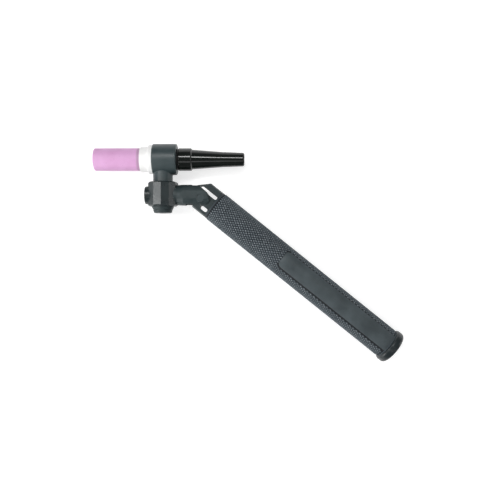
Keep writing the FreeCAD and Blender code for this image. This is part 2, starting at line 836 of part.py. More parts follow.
NODES = {
    "cup": make_cup,
    "heat_shield": make_heat_shield,
    "collet_body": make_collet_body,
    "collet": make_collet,
    "head_core": make_head_core,
    "head_cover": make_head_cover,
    "neck_spindle": make_neck_spindle,
    "spindle_o_rings": make_spindle_o_rings,
    "spindle_washer": make_spindle_washer,
    "spindle_nut": make_spindle_nut,
    "back_cap": make_back_cap,
    "back_cap_stud": make_back_cap_stud,
    "back_cap_o_ring": make_back_cap_o_ring,
    "swivel_body": make_swivel_body,
    "bottom_cap": make_bottom_cap,
    "side_plug": make_side_plug,
    "side_plug_o_ring": make_side_plug_o_ring,
    "friction_pad": make_friction_pad,
    "arm": make_arm,
    "arm_tube": make_arm_tube,
    "hinge_pin": make_hinge_pin,
    "pin_plug": make_pin_plug,
    "pin_o_rings": make_pin_o_rings,
    "pin_screws": make_pin_screws,
    "hinge_washers": make_hinge_washers,
    "handle_nose": make_nose,
    "core_tube": make_core_tube,
    "thrust_washer": make_thrust_washer,
    "stop_nut": make_stop_nut,
    "guide_bush": make_guide_bush,
    "cable_stem": make_cable_stem,
    "push_collar": make_push_collar,
    "lock_plungers": make_lock_plungers,
    "release_spring": make_release_spring,
    "grip_sleeve": make_grip_sleeve,
    "drive_nut": make_drive_nut,
    "rear_collar": make_rear_collar,
}


def main():
    os.makedirs("parts", exist_ok=True)
    shift = box_corner_shift()
    for name, make in NODES.items():
        made = make()
        solids = made if isinstance(made, list) else made.Solids
        shape = solids[0] if len(solids) == 1 else Part.makeCompound(solids)
        shape.translate(shift)
        if not shape.isValid():
            print("not valid:", name)
        shape.exportStep("parts/" + name + ".step")
        print(name, len(solids), round(shape.Volume, 2))


main()
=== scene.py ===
# %% [markdown]
# # A TIG torch on a white bench
# A TIG torch holds a tungsten electrode in a stream of shielding gas. This one is built to reach
# into awkward corners: its head swivels, its neck tilts, and a twist of the knurled handle locks
# the tilt. The solids come from the CAD model, already in their places, so the work here is to
# dress them: give each plastic, metal and ceramic its own finish, cut the knurl that the solids
# leave plain, and light the whole as a catalogue picture does.

# %% Load the torch
import math

import bmesh
import bpy
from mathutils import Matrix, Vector


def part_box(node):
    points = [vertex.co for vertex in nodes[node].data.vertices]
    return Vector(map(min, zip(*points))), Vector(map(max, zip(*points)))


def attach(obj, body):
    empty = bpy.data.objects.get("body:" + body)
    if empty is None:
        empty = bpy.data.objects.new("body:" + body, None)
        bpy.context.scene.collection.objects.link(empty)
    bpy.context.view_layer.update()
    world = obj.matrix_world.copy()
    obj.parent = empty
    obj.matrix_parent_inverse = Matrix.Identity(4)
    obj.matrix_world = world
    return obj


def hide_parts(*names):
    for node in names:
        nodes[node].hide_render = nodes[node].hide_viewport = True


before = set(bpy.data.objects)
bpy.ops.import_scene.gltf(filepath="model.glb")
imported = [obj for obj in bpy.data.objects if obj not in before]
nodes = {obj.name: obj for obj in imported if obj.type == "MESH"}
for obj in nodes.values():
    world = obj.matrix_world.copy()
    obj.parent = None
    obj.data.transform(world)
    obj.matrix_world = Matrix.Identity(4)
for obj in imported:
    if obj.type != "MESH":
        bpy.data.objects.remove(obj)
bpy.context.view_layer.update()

print("solids to dress:", len(nodes))

# %% [markdown]
# ## The camera
# A product picture of a torch is taken from straight above while the torch lies on its side.
# The camera could be set by eye, but two numbers fix it: the picture is square, and it shows
# 327.5 mm of bench from 390 mm away. The lens follows from those two by similar triangles. A short
# distance is right here, because it lets the eye see a little of the near flanks of each barrel.

# %% Camera above the bench
# Where the axes of the arm and the handle cross. The camera and the sleeve are placed from here.
MM = 0.001
crossing = Vector((-0.0307538, 0.0374779, 0.0113))
seen_width = 327.5 * MM
camera_distance = 390 * MM
right_of_crossing, below_crossing = 31.5 * MM, 35.8 * MM
sensor = 36.0

lens = bpy.data.cameras.new("overhead camera")
lens.sensor_width = sensor
lens.lens = sensor * camera_distance / seen_width
lens.clip_start = 0.01
camera = bpy.data.objects.new("overhead camera", lens)
camera.location = crossing + Vector((right_of_crossing, -below_crossing, camera_distance))
bpy.context.scene.collection.objects.link(camera)
bpy.context.scene.camera = camera
print("lens:", round(lens.lens, 1), "mm")

# %% [markdown]
# ## Helpers for nodes
# The sky, the bench and every finish are trees of nodes. Each node could be added and linked in
# full where it is needed, but then a short sum takes ten lines. With a few helpers it reads as a
# sum does: each takes sockets or numbers and returns the socket that carries the result.

# %% Helpers for nodes
def add_node(tree, kind, **settings):
    """Adds a node of this kind and gives it its settings by name."""
    node = tree.nodes.new(kind)
    for name, value in settings.items():
        setattr(node, name, value)
    return node


def math_node(tree, operation, first, second=None, clamp=False):
    """A Math node; first and second are sockets or numbers. Returns its output socket."""
    node = add_node(tree, "ShaderNodeMath", operation=operation, use_clamp=clamp)
    for value, socket in zip((first, second), node.inputs):
        if isinstance(value, bpy.types.NodeSocket):
            tree.links.new(value, socket)
        elif value is not None:
            socket.default_value = value
    return node.outputs[0]


def map_range(tree, value, low, high, new_low=0.0, new_high=1.0):
    """Maps value from low..high to new_low..new_high, held within them."""
    node = add_node(tree, "ShaderNodeMapRange", clamp=True)
    tree.links.new(value, node.inputs["Value"])
    node.inputs["From Min"].default_value = low
    node.inputs["From Max"].default_value = high
    node.inputs["To Min"].default_value = new_low
    node.inputs["To Max"].default_value = new_high
    return node.outputs["Result"]


# %% [markdown]
# ## The light
# Black plastic shows its shape by what it mirrors, so the surroundings matter more than the lamps.
# The room is dim. A grey ceiling keeps the glossy back cap black in the middle, and only the far
# wall is bright, low down, where it draws a pale line along the far edges of the barrels. A world
# whose colour depends on direction gives both without building a room. Each softbox stands where
# one face of the torch mirrors it: a row of three narrow ones on the far side for the sharp streak
# along the cap and the softer ones beside it, one on the left for the bright facet of the joint, one
# low on the left for the near flank of the sleeve, and weak ones for the faces between them.

# %% World with one bright wall and a dim ceiling
view = bpy.context.scene.view_settings
view.view_transform = "Standard"

world = bpy.data.worlds.new("studio")
bpy.context.scene.world = world
world.use_nodes = True
sky = world.node_tree
direction = add_node(sky, "ShaderNodeSeparateXYZ")
sky.links.new(add_node(sky, "ShaderNodeTexCoord").outputs["Generated"], direction.inputs["Vector"])

# The direction is a line of length one, so its Z is the sine of the height above the bench, and
# its Y nears 1 towards the far wall.
wall_fades_from, wall_top = 0.08, 0.35
far_wall_from, far_wall_full = 0.72, 0.96
other_walls, ceiling = 0.2, 0.10
wall = map_range(sky, direction.outputs["Z"], wall_fades_from, wall_top, 1.0, 0.0)
far_side = map_range(sky, direction.outputs["Y"], far_wall_from, far_wall_full, other_walls, 1.0)
shade = math_node(sky, "ADD", math_node(sky, "MULTIPLY", wall, far_side), ceiling)
sky.links.new(shade, sky.nodes["Background"].inputs["Color"])
print("the wall ends", round(math.degrees(math.asin(wall_top))), "degrees up")

# %% Softboxes
def softbox(name, place, size, watts, aim=(0, 0, 0)):
    """A rectangular lamp at place that faces aim; size is its width along the torch and its height."""
    lamp = bpy.data.lights.new(name, "AREA")
    lamp.shape = "RECTANGLE"
    lamp.size, lamp.size_y = size
    lamp.energy = watts
    lamp_object = bpy.data.objects.new(name, lamp)
    lamp_object.location = place
    facing = (Vector(aim) - Vector(place)).to_track_quat("-Z", "Y")
    lamp_object.rotation_euler = facing.to_euler()
    bpy.context.scene.collection.objects.link(lamp_object)
    return lamp_object


joint = (-0.06, 0.04, 0)
lamps = [
    softbox("head softbox", (-0.23, 0.29, 0.60), (0.22, 0.10), 0.60, aim=(-0.23, 0.03, 0)),
    softbox("cap softbox", (-0.03, 0.29, 0.60), (0.18, 0.11), 0.78, aim=(-0.03, 0.03, 0)),
    softbox("handle softbox", (0.29, 0.29, 0.60), (0.46, 0.10), 0.46, aim=(0.29, 0.03, 0)),
    softbox("left softbox", (-0.58, 0.07, 0.61), (0.26, 0.16), 1.70, aim=joint),
    softbox("lower left softbox", (-0.60, -0.52, 0.29), (0.56, 0.42), 4.3),
    softbox("narrow softbox", (0.10, -0.30, 0.60), (1.10, 0.14), 0.65, aim=(0.10, 0.03, 0)),
    softbox("overhead softbox", (-0.28, 0.055, 0.62), (0.30, 0.16), 0.40, aim=joint),
    softbox("right softbox", (0.27, 0.075, 0.62), (0.34, 0.12), 0.12, aim=joint),
    softbox("low right softbox", (0.82, 0.06, 0.25), (0.30, 0.20), 0.80, aim=joint),
]
print("lamps:", ", ".join(lamp.name for lamp in lamps))

# %% [markdown]
# ## The bench
# The torch lies on a pale bench that runs to the horizon. A floor lit only by lamps turns grey
# wherever their light thins out, and more light would wash out the torch. So the floor adds a
# little light of its own, but only for rays that come from the camera, from a mirror-like surface
# or through glass. Those rays see white, and the torch's own shadow stays on the floor.

# %% Pale floor
def grid_sheet(name, half_width, steps):
    """A flat square of steps by steps faces about the origin."""
    places = []
    for row in range(steps + 1):
        for column in range(steps + 1):
            x = half_width * (2 * column / steps - 1)
            y = half_width * (2 * row / steps - 1)
            places.append((x, y, 0))
    faces = []
    for row in range(steps):
        for column in range(steps):
            corner = row * (steps + 1) + column
            faces.append((corner, corner + 1, corner + steps + 2, corner + steps + 1))
    mesh = bpy.data.meshes.new(name)
    mesh.from_pydata(places, [], faces)
    sheet = bpy.data.objects.new(name, mesh)
    bpy.context.scene.collection.objects.link(sheet)
    return sheet


floor_half_width, floor_steps = 6.0, 4
floor = grid_sheet("floor", floor_half_width, floor_steps)

floor_glow = 0.68
bench = bpy.data.materials.new("pale bench")
bench.use_nodes = True
floor.data.materials.append(bench)
bench_tree = bench.node_tree
paint = bench_tree.nodes["Principled BSDF"]
paint.inputs["Base Color"].default_value = (0.60, 0.60, 0.60, 1)
paint.inputs["Roughness"].default_value = 0.9
paint.inputs["Specular IOR Level"].default_value = 0.1
ray = add_node(bench_tree, "ShaderNodeLightPath").outputs
seen = math_node(bench_tree, "ADD", ray["Is Camera Ray"], ray["Is Glossy Ray"])
seen = math_node(bench_tree, "ADD", seen, ray["Is Transmission Ray"], clamp=True)
glow = add_node(bench_tree, "ShaderNodeEmission")
bench_tree.links.new(math_node(bench_tree, "MULTIPLY", seen, floor_glow), glow.inputs["Strength"])
both = add_node(bench_tree, "ShaderNodeAddShader")
bench_tree.links.new(paint.outputs["BSDF"], both.inputs[0])
bench_tree.links.new(glow.outputs["Emission"], both.inputs[1])
bench_tree.links.new(both.outputs[0], bench_tree.nodes["Material Output"].inputs["Surface"])
print("floor:", len(floor.data.polygons), "faces, with a glow of", floor_glow)

# %% [markdown]
# ## Effects that many finishes share
# Moulded plastic has a fine grain from the spark-eroded mould and slow changes of tone. Handled
# parts wear pale along their edges. Turned metal shows the tool's rings. Each of these is needed
# by several finishes, so each is a node group with named inputs, and every material places the
# group with its own values. Copying the nodes into each material would also work, but then a
# better grain would have to be mended a dozen times.

# %% Helpers for node groups
def new_group(name, inputs, outputs):
    """A shader node group, with its entry and its exit node. inputs are (name, type, value)."""
    group = bpy.data.node_groups.new(name, "ShaderNodeTree")
    for socket, kind, value in inputs:
        made = group.interface.new_socket(name=socket, in_out="INPUT", socket_type=kind)
        if value is not None:
            made.default_value = value
    for socket, kind in outputs:
        group.interface.new_socket(name=socket, in_out="OUTPUT", socket_type=kind)
    entry = group.nodes.new("NodeGroupInput")
    leave = group.nodes.new("NodeGroupOutput")
    return group, entry, leave


def noise_node(tree, vector, scale, detail=2.0, roughness=0.5):
    """A noise in space; scale is a socket or a number. Returns its Fac output."""
    node = add_node(tree, "ShaderNodeTexNoise")
    tree.links.new(vector, node.inputs["Vector"])
    if isinstance(scale, bpy.types.NodeSocket):
        tree.links.new(scale, node.inputs["Scale"])
    else:
        node.inputs["Scale"].default_value = scale
    node.inputs["Detail"].default_value = detail
    node.inputs["Roughness"].default_value = roughness
    return node.outputs["Fac"]


FLOAT = "NodeSocketFloat"
VECTOR = "NodeSocketVector"

# %% Moulded grain
# Height is the mould's fine grain, Tone the slow change of colour and shine over the piece. A
# noise seldom leaves the range from 0.3 to 0.7, so wherever one is used as a tone or a mask, about
# that range is spread over 0 to 1.
grain_group, entry, leave = new_group(
    "moulded grain",
    [("Vector", VECTOR, None), ("Grain per metre", FLOAT, 2600.0), ("Tone per metre", FLOAT, 90.0)],
    [("Height", FLOAT), ("Tone", FLOAT)])
fine = noise_node(grain_group, entry.outputs["Vector"], entry.outputs["Grain per metre"], 3.0, 0.6)
slow = noise_node(grain_group, entry.outputs["Vector"], entry.outputs["Tone per metre"], 4.0, 0.55)
grain_group.links.new(fine, leave.inputs["Height"])
grain_group.links.new(map_range(grain_group, slow, 0.32, 0.68), leave.inputs["Tone"])
print("effect made:", grain_group.name)

# %% Edge wear
# A Bevel node gives the normal that a rounded edge would have. Where it differs from the real
# normal there is an edge, and a patchy noise keeps the wear from being a drawn line. The two
# normals agree at 1, and the wear grows as that number falls.
wear_starts, wear_full = 0.985, 0.85
wear_group, entry, leave = new_group(
    "edge wear",
    [("Vector", VECTOR, None), ("Width", FLOAT, 0.4 * MM), ("Patches per metre", FLOAT, 600.0)],
    [("Mask", FLOAT)])
rounded = add_node(wear_group, "ShaderNodeBevel", samples=6)
wear_group.links.new(entry.outputs["Width"], rounded.inputs["Radius"])
surface = add_node(wear_group, "ShaderNodeNewGeometry")
agree = add_node(wear_group, "ShaderNodeVectorMath", operation="DOT_PRODUCT")
wear_group.links.new(rounded.outputs["Normal"], agree.inputs[0])
wear_group.links.new(surface.outputs["Normal"], agree.inputs[1])
edge = map_range(wear_group, agree.outputs["Value"], wear_starts, wear_full)
patch = noise_node(wear_group, entry.outputs["Vector"], entry.outputs["Patches per metre"], 3.0)
patch = map_range(wear_group, patch, 0.38, 0.62)
wear_group.links.new(math_node(wear_group, "MULTIPLY", edge, patch), leave.inputs["Mask"])
print("effect made:", wear_group.name)

# %% Turned lines
# Along is the distance along the lathe's axis, so the rings lie square to it. The passes of the
# tool, about ten rings wide, give the slower tone.
passes_per_ring = 0.09
turned_group, entry, leave = new_group(
    "turned lines",
    [("Along", FLOAT, 0.0), ("Rings per metre", FLOAT, 5000.0)],
    [("Height", FLOAT), ("Tone", FLOAT)])
along, density = entry.outputs["Along"], entry.outputs["Rings per metre"]
ring_count = math_node(turned_group, "MULTIPLY", along, density)
tool_rings = add_node(turned_group, "ShaderNodeTexNoise", noise_dimensions="1D")
turned_group.links.new(ring_count, tool_rings.inputs["W"])
tool_rings.inputs["Scale"].default_value = 1.0
tool_rings.inputs["Detail"].default_value = 3.0
passes = add_node(turned_group, "ShaderNodeTexNoise", noise_dimensions="1D")
turned_group.links.new(ring_count, passes.inputs["W"])
passes.inputs["Scale"].default_value = passes_per_ring
turned_group.links.new(tool_rings.outputs["Fac"], leave.inputs["Height"])
turned_group.links.new(map_range(turned_group, passes.outputs["Fac"], 0.35, 0.65), leave.inputs["Tone"])
print("effect made:", turned_group.name)

# %% Handling marks
# Fine hairline scratches and a faint smear, for the surfaces that hands and cloths polish. The
# coordinates are stretched far more in two directions than in the third, which draws a noise out
# into hairlines.
marks_group, entry, leave = new_group(
    "handling marks",
    [("Vector", VECTOR, None)],
    [("Scratches", FLOAT), ("Smear", FLOAT)])
stretch = add_node(marks_group, "ShaderNodeMapping")
stretch.inputs["Scale"].default_value = (90, 3200, 1500)
stretch.inputs["Rotation"].default_value = (0.2, 0.3, 0.35)
marks_group.links.new(entry.outputs["Vector"], stretch.inputs["Vector"])
hairlines = noise_node(marks_group, stretch.outputs["Vector"], 1.0, 1.0)
marks_group.links.new(map_range(marks_group, hairlines, 0.66, 0.72), leave.inputs["Scratches"])
smear = noise_node(marks_group, entry.outputs["Vector"], 140.0, 3.0, 0.6)
marks_group.links.new(map_range(marks_group, smear, 0.42, 0.66), leave.inputs["Smear"])
print("effect made:", marks_group.name)

# %% [markdown]
# ## Finishes
# Two makers cover most of the torch: one for moulded plastics and rubbers, and one for turned
# metals. The back cap, the cup and the knurl have a finish of their own. Each starts from the
# piece's own coordinates, so that a pattern stays on the piece when a joint moves it, and each
# gives the eye three scales to read: a slow change of tone, a fine grain in the bump, and wear
# along the edges. Numbers that are the same all over a surface, such as how much a plastic
# mirrors, sit directly on the shader's sockets.

# %% Helpers for finishes
def start_material(name):
    """A new material. Returns it with its nodes, its shader and the piece's own coordinates."""
    material = bpy.data.materials.new(name)
    material.use_nodes = True
    tree = material.node_tree
    place = add_node(tree, "ShaderNodeTexCoord").outputs["Object"]
    return material, tree, tree.nodes["Principled BSDF"], place


def use_group(tree, group, vector=None, **values):
    """Places a shared effect; values name its inputs with _ for each space."""
    node = add_node(tree, "ShaderNodeGroup", node_tree=group)
    if vector is not None:
        tree.links.new(vector, node.inputs["Vector"])
    for name, value in values.items():
        node.inputs[name.replace("_", " ").capitalize()].default_value = value
    return node


def blend_colours(tree, amount, low, high):
    """Mixes two colours by amount; each is a socket or a colour."""
    node = add_node(tree, "ShaderNodeMix", data_type="RGBA")
    tree.links.new(amount, node.inputs["Factor"])
    for socket, value in ((node.inputs[6], low), (node.inputs[7], high)):
        if isinstance(value, bpy.types.NodeSocket):
            tree.links.new(value, socket)
        else:
            socket.default_value = (*value, 1)
    return node.outputs[2]


def add_bump(tree, shader, height, depth):
    """Lets height, from 0 to 1, raise the surface by up to depth, in metres."""
    node = add_node(tree, "ShaderNodeBump")
    node.inputs["Strength"].default_value = 1.0
    node.inputs["Distance"].default_value = depth
    tree.links.new(height, node.inputs["Height"])
    tree.links.new(node.outputs["Normal"], shader.inputs["Normal"])


# %% Maker for moulded finishes
def moulded(name, dark, pale, worn, roughness, grain_depth, wear_width=0.4 * MM, shine=0.5):
    """A moulded plastic or rubber: two tones, a worn edge colour, and a low and high roughness."""
    material, tree, shader, place = start_material(name)
    shader.inputs["Specular IOR Level"].default_value = shine
    grain = use_group(tree, grain_group, place, grain_per_metre=3800.0)
    wear = use_group(tree, wear_group, place, width=wear_width)
    colour = blend_colours(tree, grain.outputs["Tone"], dark, pale)
    colour = blend_colours(tree, wear.outputs["Mask"], colour, worn)
    tree.links.new(colour, shader.inputs["Base Color"])
    rough = map_range(tree, grain.outputs["Tone"], 0.0, 1.0, roughness[0], roughness[1])
    tree.links.new(rough, shader.inputs["Roughness"])
    add_bump(tree, shader, grain.outputs["Height"], grain_depth)
    return material


# %% Mouldings of the head, body and handle
MICRON = 0.000001
head_moulding = moulded(
    "head moulding", dark=(0.029, 0.044, 0.048), pale=(0.040, 0.058, 0.062), worn=(0.08, 0.10, 0.105),
    roughness=(0.34, 0.42), grain_depth=6 * MICRON, shine=0.46)
joint_moulding = moulded(
    "joint moulding", dark=(0.010, 0.016, 0.018), pale=(0.016, 0.025, 0.027), worn=(0.06, 0.075, 0.08),
    roughness=(0.24, 0.30), grain_depth=3 * MICRON, shine=0.42)
body_moulding = moulded(
    "body moulding", dark=(0.018, 0.029, 0.031), pale=(0.034, 0.048, 0.051), worn=(0.065, 0.085, 0.09),
    roughness=(0.40, 0.50), grain_depth=8 * MICRON, shine=0.30)
shield_plastic = moulded(
    "white heat shield", dark=(0.88, 0.88, 0.87), pale=(0.92, 0.92, 0.915), worn=(0.94, 0.94, 0.94),
    roughness=(0.38, 0.50), grain_depth=8 * MICRON)
rim_rubber = moulded(
    "rim rubber", dark=(0.015, 0.021, 0.023), pale=(0.024, 0.031, 0.034), worn=(0.05, 0.06, 0.06),
    roughness=(0.22, 0.30), grain_depth=4 * MICRON, shine=0.34)
seal_rubber = moulded(
    "seal rubber", dark=(0.010, 0.010, 0.011), pale=(0.018, 0.018, 0.019), worn=(0.03, 0.03, 0.03),
    roughness=(0.42, 0.55), grain_depth=10 * MICRON, wear_width=0.1 * MM)
slide_plastic = moulded(
    "slide plastic", dark=(0.62, 0.60, 0.54), pale=(0.72, 0.70, 0.64), worn=(0.80, 0.79, 0.74),
    roughness=(0.35, 0.45), grain_depth=10 * MICRON)
mouldings = [head_moulding, joint_moulding, body_moulding, shield_plastic, rim_rubber, seal_rubber,
             slide_plastic]
print("mouldings made:", ", ".join(moulding.name for moulding in mouldings))

# %% [markdown]
# The back cap is the glossy piece of the torch: a hard phenolic moulding, polished by the mould
# and by the thumb that turns it. It needs no grain. Its detail is in the shine: a few hairline
# scratches and a faint smear change the roughness, and so break the edges of the streak.

# %% Glossy back cap
def glossy_cap():
    """Black and polished; smears and scratches only change how rough it is."""
    material, tree, shader, place = start_material("glossy cap")
    marks = use_group(tree, marks_group, place)
    grain = use_group(tree, grain_group, place, grain_per_metre=900.0)
    colour = blend_colours(tree, grain.outputs["Tone"], (0.004, 0.0055, 0.005), (0.008, 0.010, 0.009))
    tree.links.new(colour, shader.inputs["Base Color"])
    polish, smear_adds, scratch_adds = 0.075, 0.07, 0.16
    smear = math_node(tree, "MULTIPLY", marks.outputs["Smear"], smear_adds)
    scratch = math_node(tree, "MULTIPLY", marks.outputs["Scratches"], scratch_adds)
    rough = math_node(tree, "ADD", math_node(tree, "ADD", smear, scratch), polish)
    tree.links.new(rough, shader.inputs["Roughness"])
    add_bump(tree, shader, grain.outputs["Height"], 12 * MICRON)
    return material


cap_moulding = glossy_cap()
print("made:", cap_moulding.name)

# %% [markdown]
# The cup is pink alumina, pressed and fired without a glaze. It is matt with a soft sheen, its
# pink is a little uneven, and tiny dark specks show where the powder fired darker. A cell texture
# gives the specks: only the very middle of a few cells is kept. The last two millimetres before the
# rear edge, where it meets the heat shield, are darkened with painted shade in the seam.

# %% Fired ceramic
def fired_ceramic():
    """Pink and matt, with dark specks, paler edges and painted shade along the rear edge."""
    material, tree, shader, place = start_material("fired ceramic")
    grain = use_group(tree, grain_group, place, grain_per_metre=3400.0, tone_per_metre=130.0)
    wear = use_group(tree, wear_group, place, width=0.5 * MM)
    colour = blend_colours(tree, grain.outputs["Tone"], (0.66, 0.345, 0.605), (0.72, 0.40, 0.675))
    cells_per_metre, speck_rim, speck_core = 520.0, 0.16, 0.06
    specks = add_node(tree, "ShaderNodeTexVoronoi")
    specks.inputs["Scale"].default_value = cells_per_metre
    tree.links.new(place, specks.inputs["Vector"])
    speck = map_range(tree, specks.outputs["Distance"], speck_rim, speck_core, 0.0, 0.35)
    colour = blend_colours(tree, speck, colour, (0.40, 0.20, 0.34))
    colour = blend_colours(tree, wear.outputs["Mask"], colour, (0.80, 0.53, 0.72))
    along = add_node(tree, "ShaderNodeSeparateXYZ")
    tree.links.new(place, along.inputs["Vector"])
    rear_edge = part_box("cup")[1][0]
    # Painted shade darkens the last two millimetres before the rear edge, in the seam with the heat
    # shield.
    seam_shade_from, seam_shade_full = rear_edge - 2.3 * MM, rear_edge - 1.2 * MM
    seam_shade = map_range(tree, along.outputs["X"], seam_shade_from, seam_shade_full, 0.0, 0.5)
    colour = blend_colours(tree, seam_shade, colour, (0.22, 0.16, 0.20))
    tree.links.new(colour, shader.inputs["Base Color"])
    rough = map_range(tree, grain.outputs["Tone"], 0.0, 1.0, 0.46, 0.58)
    tree.links.new(rough, shader.inputs["Roughness"])
    add_bump(tree, shader, grain.outputs["Height"], 30 * MICRON)
    return material


cup_ceramic = fired_ceramic()
print("made:", cup_ceramic.name)

# %% [markdown]
# The metal parts are turned from bar: brass for what is threaded or soldered, copper for what
# carries the heat and current to the electrode, and steel for the sliding parts of the lock. The
# hinge pin, its plug and its screws show outside, and are blackened to match the mouldings. The
# rings of the tool lie square to the axis that a part was turned about. One finish could serve for
# all, but its rings would run the wrong way on most parts, so each metal is made once for each of
# the torch's four axes that it is turned about.

# %% Maker for turned metals
# The handle slopes down by this angle from the arm, which lies along X.
bend = math.radians(38.75)
handle_axis = Vector((math.cos(bend), -math.sin(bend), 0))
handle_up = Vector((math.sin(bend), math.cos(bend), 0))
head_axis = Vector((1, 0, 0))
neck_axis = Vector((0, 1, 0))
pin_axis = Vector((0, 0, 1))

# The dark and the bright tone, and how much of the surface is bare metal.
tarnishes = {
    "brass": ((0.62, 0.43, 0.16), (0.78, 0.57, 0.25), 1.0),
    "blackened brass": ((0.037, 0.052, 0.056), (0.056, 0.073, 0.077), 0.2),
    "black steel": ((0.030, 0.031, 0.034), (0.055, 0.056, 0.058), 0.4),
    "copper": ((0.70, 0.32, 0.18), (0.86, 0.47, 0.30), 1.0),
    "steel": ((0.42, 0.42, 0.41), (0.56, 0.56, 0.55), 1.0),
}


def turned_metal(metal, axis, axis_name):
    """A turned metal with its rings square to axis."""
    material, tree, shader, place = start_material(metal + " turned about the " + axis_name)
    along = add_node(tree, "ShaderNodeVectorMath", operation="DOT_PRODUCT")
    tree.links.new(place, along.inputs[0])
    along.inputs[1].default_value = axis
    rings = use_group(tree, turned_group)
    tree.links.new(along.outputs["Value"], rings.inputs["Along"])
    grain = use_group(tree, grain_group, place, tone_per_metre=220.0)
    wear = use_group(tree, wear_group, place, width=0.2 * MM)
    dark, bright, bare = tarnishes[metal]
    tone = math_node(tree, "MULTIPLY", grain.outputs["Tone"], rings.outputs["Tone"])
    colour = blend_colours(tree, tone, dark, bright)
    polished = tuple(min(1.0, 1.15 * channel) for channel in bright)
    colour = blend_colours(tree, wear.outputs["Mask"], colour, polished)
    tree.links.new(colour, shader.inputs["Base Color"])
    shader.inputs["Metallic"].default_value = bare
    rough = map_range(tree, rings.outputs["Tone"], 0.0, 1.0, 0.26, 0.36)
    tree.links.new(rough, shader.inputs["Roughness"])
    add_bump(tree, shader, rings.outputs["Height"], 10 * MICRON)
    return material


print("metals known:", ", ".join(tarnishes))

# %% Dress the metal parts
turned_about = {
    "head axis": (head_axis, {"collet_body": "copper", "collet": "copper", "head_core": "brass",
                              "back_cap_stud": "brass", "arm_tube": "brass"}),
    "neck": (neck_axis, {"neck_spindle": "brass", "spindle_nut": "brass", "spindle_washer": "steel"}),
    "pin": (pin_axis, {"hinge_pin": "blackened brass", "pin_plug": "blackened brass",
                       "pin_screws": "black steel"}),
    "handle": (handle_axis, {"core_tube": "brass", "cable_stem": "brass", "stop_nut": "brass",
                             "drive_nut": "brass", "push_collar": "steel", "lock_plungers": "steel",
                             "release_spring": "steel"}),
}
dressed = set()


def dress(name, material):
    """Gives a CAD node its finish, and notes that it has one."""
    mesh = nodes[name].data
    mesh.materials.clear()
    mesh.materials.append(material)
    dressed.add(name)


for axis_name, (axis, metal_parts) in turned_about.items():
    made = {}
    for metal in sorted(set(metal_parts.values())):
        made[metal] = turned_metal(metal, axis, axis_name)
    for part, metal in metal_parts.items():
        dress(part, made[metal])
print("metal parts dressed:", len(dressed))

# %% Dress the plastic, rubber and ceramic parts
finishes = {
    cup_ceramic: ["cup"],
    shield_plastic: ["heat_shield"],
    head_moulding: ["head_cover"],
    joint_moulding: ["swivel_body", "side_plug"],
    body_moulding: ["arm", "handle_nose", "bottom_cap"],
    cap_moulding: ["back_cap"],
    rim_rubber: ["rear_collar"],
    seal_rubber: ["back_cap_o_ring", "spindle_o_rings", "side_plug_o_ring", "pin_o_rings"],
    slide_plastic: ["thrust_washer", "friction_pad", "hinge_washers", "guide_bush"],
}
for material, names in finishes.items():
    for name in names:
        dress(name, material)
print("left for the sleeve's own step:", sorted(set(nodes) - dressed))

# %% [markdown]
# ## The knurled sleeve
# The sleeve is what the welder holds and twists. Real ones are moulded with a diamond knurl for a
# gloved hand, and keep one smooth band along a side. The knurl could be a bump in the material,
# but then the outline of the sleeve would stay smooth, so it is built as a mesh. Ridges that run
# both ways round a cylinder cross in a lattice: every second point of a grid is a valley, and
# every other one is the middle of a diamond. Each diamond rises from its four valley points to a
# small flat top. Below the band the nearest diamonds stay low, which leaves the dark line there.
# On its other sides the knurl runs right up to it.

# %% Sizes of the sleeve
# Lengths are in millimetres. Distances along the handle start at the crossing. Angles are in
# degrees from straight up, and grow towards the far side. The lattice has a row every half diamond
# and 72 columns around, and a diamond's flat top is 0.40 of its width and length.
half_diamond, knurl_rows, around = 1.3475, 106, 72
flat_top = 0.40
sleeve_front, knurl_start = 10.0, 11.5
knurl_end = knurl_start + half_diamond * knurl_rows
rim_start, seat_end = 154.9, 159.5
peak_radius, valley_radius, band_radius = 10.2, 9.75, 10.05
lip_radius, seat_radius, bore_radius, cable_radius = 9.92, 9.2, 8.0, 8.4
band_start, band_low, band_high, band_corner = 66.2, -28.0, 43.0, 3.2


def on_handle(along, angle, radius):
    """A point of the handle: its distance along it, its angle and its radius."""
    turn = math.radians(angle)
    across = handle_up * math.sin(turn) + Vector((0, 0, 1)) * math.cos(turn)
    return crossing + (handle_axis * along + across * radius) * MM


def arc_angle(length):
    """The angle, in degrees, of a length measured round the sleeve."""
    return math.degrees(length / band_radius)


print("diamonds:", 2 * half_diamond, "by", round(4 * math.pi * peak_radius / around, 2), "mm")

# %% A store of vertices and faces
class Surface:
    """Collects vertices and faces; a vertex with a key is made once and shared."""

    def __init__(self):
        self.places, self.faces, self.kept = [], [], {}

    def point(self, place, key=None):
        """The number of the vertex at this place."""
        if key is not None and key in self.kept:
            return self.kept[key]
        self.places.append(place)
        number = len(self.places) - 1
        if key is not None:
            self.kept[key] = number
        return number

    def ring_faces(self, first, second):
        """Quads between two closed loops of the same length."""
        count = len(first)
        for k in range(count):
            after = (k + 1) % count
            self.faces.append((first[k], first[after], second[after], second[k]))

    def sheet_faces(self, rows):
        """Quads between rows of the same length."""
        for first, second in zip(rows, rows[1:]):
            for k in range(len(first) - 1):
                self.faces.append((first[k], first[k + 1], second[k + 1], second[k]))

    def piece(self, name):
        """An object from the store: faces outwards, smooth but for edges sharper than 32 degrees."""
        mesh = bpy.data.meshes.new(name)
        mesh.from_pydata([tuple(place) for place in self.places], [], self.faces)
        shell = bmesh.new()
        shell.from_mesh(mesh)
        bmesh.ops.recalc_face_normals(shell, faces=shell.faces)
        shell.to_mesh(mesh)
        shell.free()
        mesh.polygons.foreach_set("use_smooth", [True] * len(mesh.polygons))
        mesh.set_sharp_from_angle(angle=math.radians(32))
        mesh.update()
        made = bpy.data.objects.new(name, mesh)
        bpy.context.scene.collection.objects.link(made)
        return made


